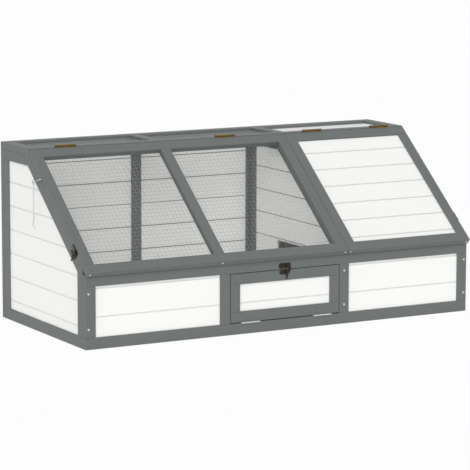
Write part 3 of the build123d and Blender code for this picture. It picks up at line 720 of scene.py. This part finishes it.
def hinge_leaves(name, body, slot, node, axis, centres, hinge, leaf_way, side, out):
    """Make the leaves of one node. Its hinge is a length and a knuckle radius, and its knuckles face out."""
    length, radius = hinge
    out = Vector(out)
    low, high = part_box(node)
    far = high if sum(leaf_way) > 0 else low
    reach = abs((far * 1000 - axis).dot(Vector(leaf_way)))
    spans = knuckle_spans(node, out, axis.dot(out) + radius * 0.8)
    head = cross_head(2.4, 0.2, 12)
    mesh = bmesh.new()
    for centre in centres:
        own = [(a - centre, b - centre) for a, b in spans if abs((a + b) / 2 - centre) < length / 2]
        turn = Matrix(((1, 0, 0), leaf_way, side)).transposed().to_4x4()
        place = Matrix.Translation((centre, axis.y, axis.z)) @ turn
        add_leaf(mesh, place, length, radius, reach, own, head)
    head.free()
    finish_piece(mesh, name, body, slot, (node,))


def add_latch_plate(mesh, place, plate, stud, carries_arm):
    """Add a latch plate with its headed stud and two screws."""
    sizes = bpy.context.scene.enclosure_sizes
    (x, y), (width, height) = plate
    thickness = sizes.plate_thickness
    boss_radius, boss_height = (5, 1.0) if carries_arm else (3.4, 0.3)
    sunk = 0.6
    screw_inset = 4
    part = bmesh.new()
    add_block(part, (x - width / 2, y - height / 2, 0), (x + width / 2, y + height / 2, thickness))
    uprights = [edge for edge in part.edges if abs(edge.verts[0].co.z - edge.verts[1].co.z) > 1]
    bmesh.ops.bevel(
        part, geom=uprights, offset=sizes.plate_corner, affect="EDGES", segments=5, profile=0.5, material=-1
    )
    rim = [
        edge for edge in part.edges
        if min(vert.co.z for vert in edge.verts) > 1 and edge.calc_face_angle() > radians(60)
    ]
    bmesh.ops.bevel(part, geom=rim, offset=0.5, affect="EDGES", segments=2, profile=0.5, material=-1)
    post = Wire(part, (*stud, thickness - sunk), (0, 0, 1), (0, 1, 0), boss_radius, sizes.round_sides + 8)
    post.step(sunk + boss_height)
    post.step(0.2, post.radius - 0.2)
    post.step(0, sizes.stud_radius)
    head_low = sizes.arm_low + sizes.arm_thickness + 0.3
    post.step(head_low - post.point.z)
    post.step(0, sizes.stud_head_radius - 0.2).step(0.2, sizes.stud_head_radius)
    post.step(0.25).step(0.3, sizes.stud_head_radius * 0.88).step(0.25, sizes.stud_head_radius * 0.55)
    bmesh.ops.contextual_create(part, geom=post.ring)
    head = cross_head(2.3, 0.8, 14)
    for reach in (screw_inset - width / 2, width / 2 - screw_inset):
        turn = Matrix.Rotation(0.6 * reach, 4, "Z")
        stamp(part, head, Matrix.Translation((x + reach, y, thickness)) @ turn)
    head.free()
    stamp(mesh, part, place)
    part.free()


def add_latch_arm(mesh, place, pivot, catch):
    """Add the C-shaped arm: a bow, an eye round the pivot, jaws at the catch and a thumb tail."""
    sizes = bpy.context.scene.enclosure_sizes
    low = sizes.arm_low
    high = low + sizes.arm_thickness
    mouth = sizes.stud_radius + 0.3
    mouth_flare = 2.6
    eye_radius = 6
    tail_length = 20
    tail_half_width = 3.5
    tip_share = 3.4 / 7
    bow_x = (UPPER_STUD[0] + LOWER_STUD[0]) / 2
    bow_y = (UPPER_STUD[1] + LOWER_STUD[1]) / 2
    bow_radius = hypot(UPPER_STUD[0] - LOWER_STUD[0], UPPER_STUD[1] - LOWER_STUD[1]) / 2
    bow = bmesh.new()
    across = Matrix(((0, 0, 1), (1, 0, 0), (0, 1, 0))).to_4x4()
    size = Matrix.Diagonal((sizes.arm_width, high - low, 1)).to_4x4()
    middle = Matrix.Translation((bow_x, bow_y + bow_radius, (low + high) / 2))
    bmesh.ops.create_grid(bow, x_segments=1, y_segments=1, size=0.5, matrix=middle @ across @ size)
    bmesh.ops.spin(
        bow, geom=bow.faces[:] + bow.edges[:] + bow.verts[:], cent=(bow_x, bow_y, 0), axis=(0, 0, 1),
        angle=-pi, steps=20, use_merge=False, use_duplicate=False,
    )
    others = bmesh.new()
    for stud in (pivot, catch):
        add_rod(others, (*stud, low), (*stud, high), eye_radius, 32)
    tail_top = LOWER_STUD[1] - mouth
    tail = add_block(
        others,
        (LOWER_STUD[0] - tail_half_width, tail_top - tail_length, low),
        (LOWER_STUD[0] + tail_half_width, tail_top, high),
    )
    tip = [vert for vert in tail if vert.co.y < tail_top - tail_length / 2]
    about = Matrix.Translation((-LOWER_STUD[0], 0, 0))
    bmesh.ops.scale(others, vec=(tip_share, 1, 1), space=about, verts=tip)
    arm = combine(bow, others, "UNION")
    cuts = bmesh.new()
    add_rod(cuts, (*pivot, low - 1), (*pivot, high + 1), sizes.stud_radius + 0.1, 24)
    add_rod(cuts, (*catch, low - 1), (*catch, high + 1), mouth, 24)
    slot = add_block(
        cuts, (catch[0] - 2 * eye_radius, catch[1] - mouth, low - 1), (catch[0], catch[1] + mouth, high + 1)
    )
    lips = [vert for vert in slot if vert.co.x < catch[0] - eye_radius]
    flare = (mouth + mouth_flare) / mouth
    bmesh.ops.scale(cuts, vec=(1, flare, 1), space=Matrix.Translation((0, -catch[1], 0)), verts=lips)
    arm = combine(arm, cuts, "DIFFERENCE")
    ease_edges(arm, offset=0.45, segments=3)
    stamp(mesh, arm, place)
    arm.free()


def lid_latch_seat(side):
    """Matrix of a lid's latch: side is -1 at the left, and 1 gives its mirror image at the right."""
    left = seat((-HALF_LENGTH, LID_LATCH.y, LID_LATCH.z), -ALONG_SLOPE, (-1, 0, 0))
    return left if side < 0 else Matrix.Scale(-1, 4, (1, 0, 0)) @ left


def add_screw_eye(mesh, middle, shank_way, normal, reach, threaded):
    """Add a screw eye whose shank runs from its ring into the timber."""
    sizes = bpy.context.scene.enclosure_sizes
    bend = 2.0
    way = Vector(shank_way)
    start = middle + way * (reach + EYE_SHANK)
    eye = Wire(mesh, start, -way, normal, sizes.eye_wire_radius, sizes.round_sides - 4)
    run = reach + EYE_SHANK - neck(sizes.ring_radius, bend)
    eye.step(run - threaded)
    eye.thread(threaded, pitch=1.1, depth=0.28)
    eye.step(run - (eye.point - start).length)
    loop_end(eye, sizes.ring_radius, bend, gap=24)


class PaintTimber(bpy.types.Operator):
    """Paint the frame and the boards"""

    bl_idname = "enclosure.paint_timber"
    bl_label = "Paint timber"

    def execute(self, context):
        colours = context.scene.enclosure_colours
        # The frame's lighter edge colour is a painted highlight; the boards' darker, warmer edge colour is
        # wear.
        frame_coat = {
            "tone": 0.07, "edge_wear_and_highlight_strength": 0.35, "edge_wear_and_highlight": (0.3, 0.31, 0.3, 1), "roughness": 0.56, "relief": 0.35,
        }
        board_coat = {
            "tone": 0.02, "edge_wear_and_highlight_strength": 0.25, "edge_wear_and_highlight": (0.8, 0.79, 0.75, 1), "roughness": 0.52, "relief": 0.22,
        }
        for grain, nodes in FRAME_GRAIN.items():
            coat = painted("frame_paint_" + grain, colours.frame_paint, grain, frame_coat)
            self.cover(nodes, coat)
        for name, (nodes, grain, *stack) in BOARD_STACKS.items():
            coat = painted("board_paint_" + name, colours.board_paint, grain, board_coat, stack)
            self.cover(nodes, coat)
        return {"FINISHED"}

    def cover(self, nodes, coat):
        """Give a material to some nodes."""
        for node in nodes:
            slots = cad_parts[node].material_slots
            if not slots:
                raise RuntimeError("no material slot on " + node)
            for slot in slots:
                slot.material = coat


class StretchMesh(bpy.types.Operator):
    """Stretch welded mesh over the run's bays"""

    bl_idname = "enclosure.stretch_mesh"
    bl_label = "Stretch mesh"

    def execute(self, context):
        sizes = context.scene.enclosure_sizes
        sheets = (
            ("left_lid_left_mesh", "left_lid"), ("left_lid_right_mesh", "left_lid"),
            ("top_left_mesh", "enclosure"), ("top_middle_mesh", "enclosure"),
        )
        for node, body in sheets:
            low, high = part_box(node)
            size = (high - low) * 1000
            middle = (low + high) * 500
            thickness = sizes.sheet_thickness
            sloped = size.z > 10
            along = ALONG_SLOPE if sloped else Vector((0, 1, 0))
            off = OFF_SLOPE if sloped else Vector((0, 0, 1))
            length = (size.y - thickness * along.z) / along.y
            layer = thickness / 2 - sizes.wire_radius
            mesh = bmesh.new()
            run = Vector((1, 0, 0))
            self.lay(mesh, middle - off * layer, run, size.x, along, length, sizes.wire_rise)
            self.lay(mesh, middle + off * layer, along, length, run, size.x, sizes.wire_spacing)
            finish_piece(mesh, node + "_wires", body, "galvanised_mesh", (node,))
        return {"FINISHED"}

    def lay(self, mesh, middle, way, length, across, width, pitch):
        """Lay one layer of wires side by side."""
        radius = bpy.context.scene.enclosure_sizes.wire_radius
        count = int((width - 4) / pitch)
        for index in range(count + 1):
            centre = middle + across * (index - count / 2) * pitch
            add_rod(mesh, centre - way * length / 2, centre + way * length / 2, radius, 8)


class FitHinges(bpy.types.Operator):
    """Fit the butt hinges of the lids and the door"""

    bl_idname = "enclosure.fit_hinges"
    bl_label = "Fit hinges"

    def execute(self, context):
        sizes = context.scene.enclosure_sizes
        lid = (sizes.lid_hinge_length, sizes.lid_knuckle_radius)
        door = (sizes.door_hinge_length, sizes.door_knuckle_radius)
        left = LID_HINGE_CENTRES[:LEFT_LID_HINGES]
        right = LID_HINGE_CENTRES[LEFT_LID_HINGES:]
        down = (0, 0, -1)
        up = (0, 0, 1)
        back = (0, 1, 0)
        front = (0, -1, 0)
        brass = "brass_hinges"
        zinc = "zinc_plated_steel"
        leaves = (
            ("lid_hinge_fixed_leaves", "enclosure", brass, "lid_hinge_top_leaves", LID_AXIS,
             LID_HINGE_CENTRES, lid, down, back, up),
            ("left_lid_hinge_moving_leaves", "left_lid", brass, "left_lid_hinge_leaves", LID_AXIS, left,
             lid, down, front, up),
            ("right_lid_hinge_moving_leaves", "right_lid", brass, "right_lid_hinge_leaves", LID_AXIS, right,
             lid, down, front, up),
            ("door_hinge_fixed_leaves", "enclosure", zinc, "door_hinge_rail_leaves", DOOR_AXIS,
             DOOR_HINGE_CENTRES, door, back, down, front),
            ("door_hinge_moving_leaves", "door", zinc, "door_hinge_door_leaves", DOOR_AXIS,
             DOOR_HINGE_CENTRES, door, back, up, front),
        )
        for leaf in leaves:
            hinge_leaves(*leaf)
        pins = (
            ("lid_pins", brass, "lid_hinge_pins", LID_AXIS, LID_HINGE_CENTRES, lid[0]),
            ("door_pins", zinc, "door_hinge_pins", DOOR_AXIS, DOOR_HINGE_CENTRES, door[0]),
        )
        for name, slot, node, axis, centres, length in pins:
            mesh = bmesh.new()
            for centre in centres:
                add_pin(mesh, axis, centre, length)
            finish_piece(mesh, name, "enclosure", slot, (node,))
        return {"FINISHED"}


class FitLatches(bpy.types.Operator):
    """Fit the swing latches of the lids and the door"""

    bl_idname = "enclosure.fit_latches"
    bl_label = "Fit latches"

    def execute(self, context):
        bronze = "bronze_latches"
        door = seat(DOOR_LATCH, (1, 0, 0), (0, -1, 0))
        keepers = bmesh.new()
        add_latch_plate(keepers, door, WIDE_PLATE, UPPER_STUD, False)
        plate = bmesh.new()
        add_latch_plate(plate, door, SMALL_PLATE, LOWER_STUD, True)
        finish_piece(plate, "door_latch_base", "door", bronze, ("door_latch_plate",))
        arm = bmesh.new()
        add_latch_arm(arm, door, LOWER_STUD, UPPER_STUD)
        finish_piece(arm, "door_latch_bow", "door_latch_arm", bronze, ("door_latch_arm",))
        for name, side in (("left", -1), ("right", 1)):
            place = lid_latch_seat(side)
            add_latch_plate(keepers, place, SMALL_PLATE, LOWER_STUD, False)
            plate = bmesh.new()
            add_latch_plate(plate, place, WIDE_PLATE, UPPER_STUD, True)
            finish_piece(plate, name + "_latch_base", name + "_lid", bronze, (name + "_latch_plate",))
            arm = bmesh.new()
            add_latch_arm(arm, place, UPPER_STUD, LOWER_STUD)
            finish_piece(arm, name + "_latch_bow", name + "_latch_arm", bronze, (name + "_latch_arm",))
        finish_piece(keepers, "latch_keeper_plates", "enclosure", bronze, ("latch_keepers",))
        return {"FINISHED"}


class FitStays(bpy.types.Operator):
    """Fit the stay hooks and the screw eyes"""

    bl_idname = "enclosure.fit_stays"
    bl_label = "Fit stays"

    def execute(self, context):
        sizes = context.scene.enclosure_sizes
        zinc = "zinc_plated_steel"
        drop = 2 * sizes.ring_radius - sizes.eye_wire_radius - sizes.hook_wire_radius - HOOK_LINK_GAP
        side_eyes = bmesh.new()
        for name, side in (("left", -1), ("right", 1)):
            inward = (-side, 0, 0)
            middle = Vector((side * SIDE_EYE.x, SIDE_EYE.y, SIDE_EYE.z))
            add_screw_eye(
                side_eyes, middle, inward, (0, side, 0), SIDE_EYE.x - HALF_LENGTH, SIDE_EYE_THREAD
            )
            hook = bmesh.new()
            self.bend_hook(hook, middle - Vector((0, 0, drop)), sizes)
            lid_eye = bmesh.new()
            middle = Vector((side * LID_EYE.x, LID_EYE.y, LID_EYE.z))
            add_screw_eye(lid_eye, middle, inward, (0, 0, side), LID_EYE.x - HALF_LENGTH, 0)
            finish_piece(lid_eye, name + "_lid_screw_eye", name + "_lid", zinc, (name + "_lid_eye",))
            finish_piece(hook, name + "_stay_wire", name + "_stay_hook", zinc, (name + "_stay_hook",))
        finish_piece(side_eyes, "side_screw_eyes", "enclosure", zinc, ("side_eyes",))
        return {"FINISHED"}

    def bend_hook(self, mesh, loop, sizes):
        """Bend a stay hook from its tip to its loop, in the plane that faces along X."""
        bend = 2.5
        peg_length = 16.55
        jog_length = 8.48
        tip = loop + Vector((0, -9, -148))
        hook = round_start(mesh, tip, (0, 18, 10), (1, 0, 0), sizes.hook_wire_radius, sizes.round_sides)
        hook.step(peg_length)
        hook.turn(100.24, radius=3)
        hook.step(jog_length)
        hook.turn(-39.29, radius=6)
        hook.step(loop.z - neck(sizes.ring_radius, bend) - hook.point.z)
        loop_end(hook, sizes.ring_radius, bend, gap=30)


class DriveScrews(bpy.types.Operator):
    """Drive the screws of the front panel and the lids"""

    bl_idname = "enclosure.drive_screws"
    bl_label = "Drive screws"

    def execute(self, context):
        sizes = context.scene.enclosure_sizes
        head = cross_head(sizes.screw_head_radius, sizes.screw_head_height, 24)
        groups = (
            ("front_screws", "enclosure", Vector((0, -1, 0))),
            ("left_lid_screws", "left_lid", -ALONG_SLOPE),
            ("right_lid_screws", "right_lid", -ALONG_SLOPE),
        )
        for node, body, out in groups:
            mesh = bmesh.new()
            for index, middle in enumerate(screw_seats(node, out)):
                place = seat(middle, (1, 0, 0), out) @ Matrix.Rotation(0.7 + index * 1.9, 4, "Z")
                stamp(mesh, head, place)
            finish_piece(mesh, node + "_heads", body, "zinc_plated_steel", (node,))
        head.free()
        return {"FINISHED"}


class SetStage(bpy.types.Operator):
    """Lay the floor, light it and place the camera"""

    bl_idname = "enclosure.set_stage"
    bl_label = "Set stage"

    def execute(self, context):
        scene = context.scene
        stage = scene.enclosure_stage
        self.lay_floor(scene, stage)
        self.light_sky(scene, stage)
        self.hang_lamp(scene, "key_lamp", KEY_LAMP, stage.key_strength)
        self.hang_lamp(scene, "side_lamp", SIDE_LAMP, stage.side_strength)
        view = bpy.data.cameras.new("camera")
        view.lens = stage.lens
        view.sensor_width = 36
        view.clip_end = 200
        camera = bpy.data.objects.new("camera", view)
        turn = Matrix((CAMERA_RIGHT, CAMERA_UP, CAMERA_RIGHT.cross(CAMERA_UP))).transposed().to_4x4()
        camera.matrix_world = Matrix.Translation(stage.eye) @ turn
        scene.collection.objects.link(camera)
        scene.camera = camera
        scene.view_settings.view_transform = "Standard"
        return {"FINISHED"}

    def seen(self, tree):
        """1 for rays that show the surface itself, in a mirror or through glass too."""
        kinds = ("Is Camera Ray", "Is Glossy Ray", "Is Transmission Ray")
        camera, glossy, through = (make(tree, "LightPath", {}, {}, kind) for kind in kinds)
        return make(tree, "Math", {"operation": "MINIMUM"}, {0: camera + glossy + through, 1: 1.0})

    def lay_floor(self, scene, stage):
        """A wide pale floor that keeps the shadow."""
        radius = 70
        sunk = 0.0006
        glow_share = 0.93
        mesh = bmesh.new()
        bmesh.ops.create_circle(mesh, cap_ends=True, segments=96, radius=radius)
        bmesh.ops.translate(mesh, vec=(0, 0, -sunk), verts=mesh.verts)
        data = bpy.data.meshes.new("floor")
        mesh.to_mesh(data)
        mesh.free()
        floor = bpy.data.objects.new("floor", data)
        scene.collection.objects.link(floor)
        material, tree, shader = new_material("floor")
        connect(tree, shader, Base_Color=(*stage.floor_colour, 1), Roughness=0.9, Specular_IOR_Level=0.0)
        glow = make(tree, "Emission", {}, {"Color": (1, 1, 1, 1), "Strength": 1.0})
        matt = Field(tree, shader.outputs[0])
        surface = make(tree, "MixShader", {}, {0: self.seen(tree) * glow_share, 1: matt, 2: glow})
        tree.links.new(surface.socket, tree.nodes["Material Output"].inputs["Surface"])
        data.materials.append(material)

    def light_sky(self, scene, stage):
        """Even white light from all round, which shows as white."""
        world = bpy.data.worlds.new("sky")
        world.use_nodes = True
        tree = world.node_tree
        level = stage.sky_level
        strength = self.seen(tree) * (1 - level) + level
        tree.nodes["Background"].inputs["Color"].default_value = (1, 1, 1, 1)
        tree.links.new(strength.socket, tree.nodes["Background"].inputs["Strength"])
        scene.world = world

    def hang_lamp(self, scene, name, side, strength):
        """A very wide soft lamp, far off on one side."""
        light = bpy.data.lights.new(name, "SUN")
        light.angle = LAMP_SPREAD
        light.energy = strength
        lamp = bpy.data.objects.new(name, light)
        place = side.normalized() * LAMP_DISTANCE
        lamp.matrix_world = Matrix.Translation(place) @ place.to_track_quat("Z", "Y").to_matrix().to_4x4()
        scene.collection.objects.link(lamp)


class EnclosurePanel(bpy.types.Panel):
    """Buttons that dress the enclosure"""

    bl_idname = "VIEW3D_PT_enclosure"
    bl_label = "Tortoise enclosure"
    bl_space_type = "VIEW_3D"
    bl_region_type = "UI"
    bl_category = "Enclosure"

    def draw(self, context):
        layout = self.layout
        for operator in OPERATORS:
            layout.operator(operator.bl_idname)
        for group in (
            context.scene.enclosure_sizes, context.scene.enclosure_colours, context.scene.enclosure_stage
        ):
            box = layout.box()
            for name in group.bl_rna.properties.keys():
                if name not in ("rna_type", "name"):
                    box.prop(group, name)


OPERATORS = (PaintTimber, StretchMesh, FitHinges, FitLatches, FitStays, DriveScrews, SetStage)
GROUPS = (EnclosureSizes, EnclosureColours, EnclosureStage)


def register():
    """Add the settings, operators and panel."""
    for item in GROUPS + OPERATORS + (EnclosurePanel,):
        bpy.utils.register_class(item)
    bpy.types.Scene.enclosure_sizes = PointerProperty(type=EnclosureSizes)
    bpy.types.Scene.enclosure_colours = PointerProperty(type=EnclosureColours)
    bpy.types.Scene.enclosure_stage = PointerProperty(type=EnclosureStage)


def unregister():
    """Take them away again."""
    del bpy.types.Scene.enclosure_stage
    del bpy.types.Scene.enclosure_colours
    del bpy.types.Scene.enclosure_sizes
    for item in reversed(GROUPS + OPERATORS + (EnclosurePanel,)):
        bpy.utils.unregister_class(item)


def plain(corners):
    """Corners as lists of numbers."""
    return [[float(number) for number in corner] for corner in corners]


def main():
    """Dress the frame."""
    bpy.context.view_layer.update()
    register()
    bpy.ops.enclosure.paint_timber()
    bpy.ops.enclosure.stretch_mesh()
    bpy.ops.enclosure.fit_hinges()
    bpy.ops.enclosure.fit_latches()
    bpy.ops.enclosure.fit_stays()
    bpy.ops.enclosure.drive_screws()
    bpy.ops.enclosure.set_stage()


if __name__ == "__main__":
    main()
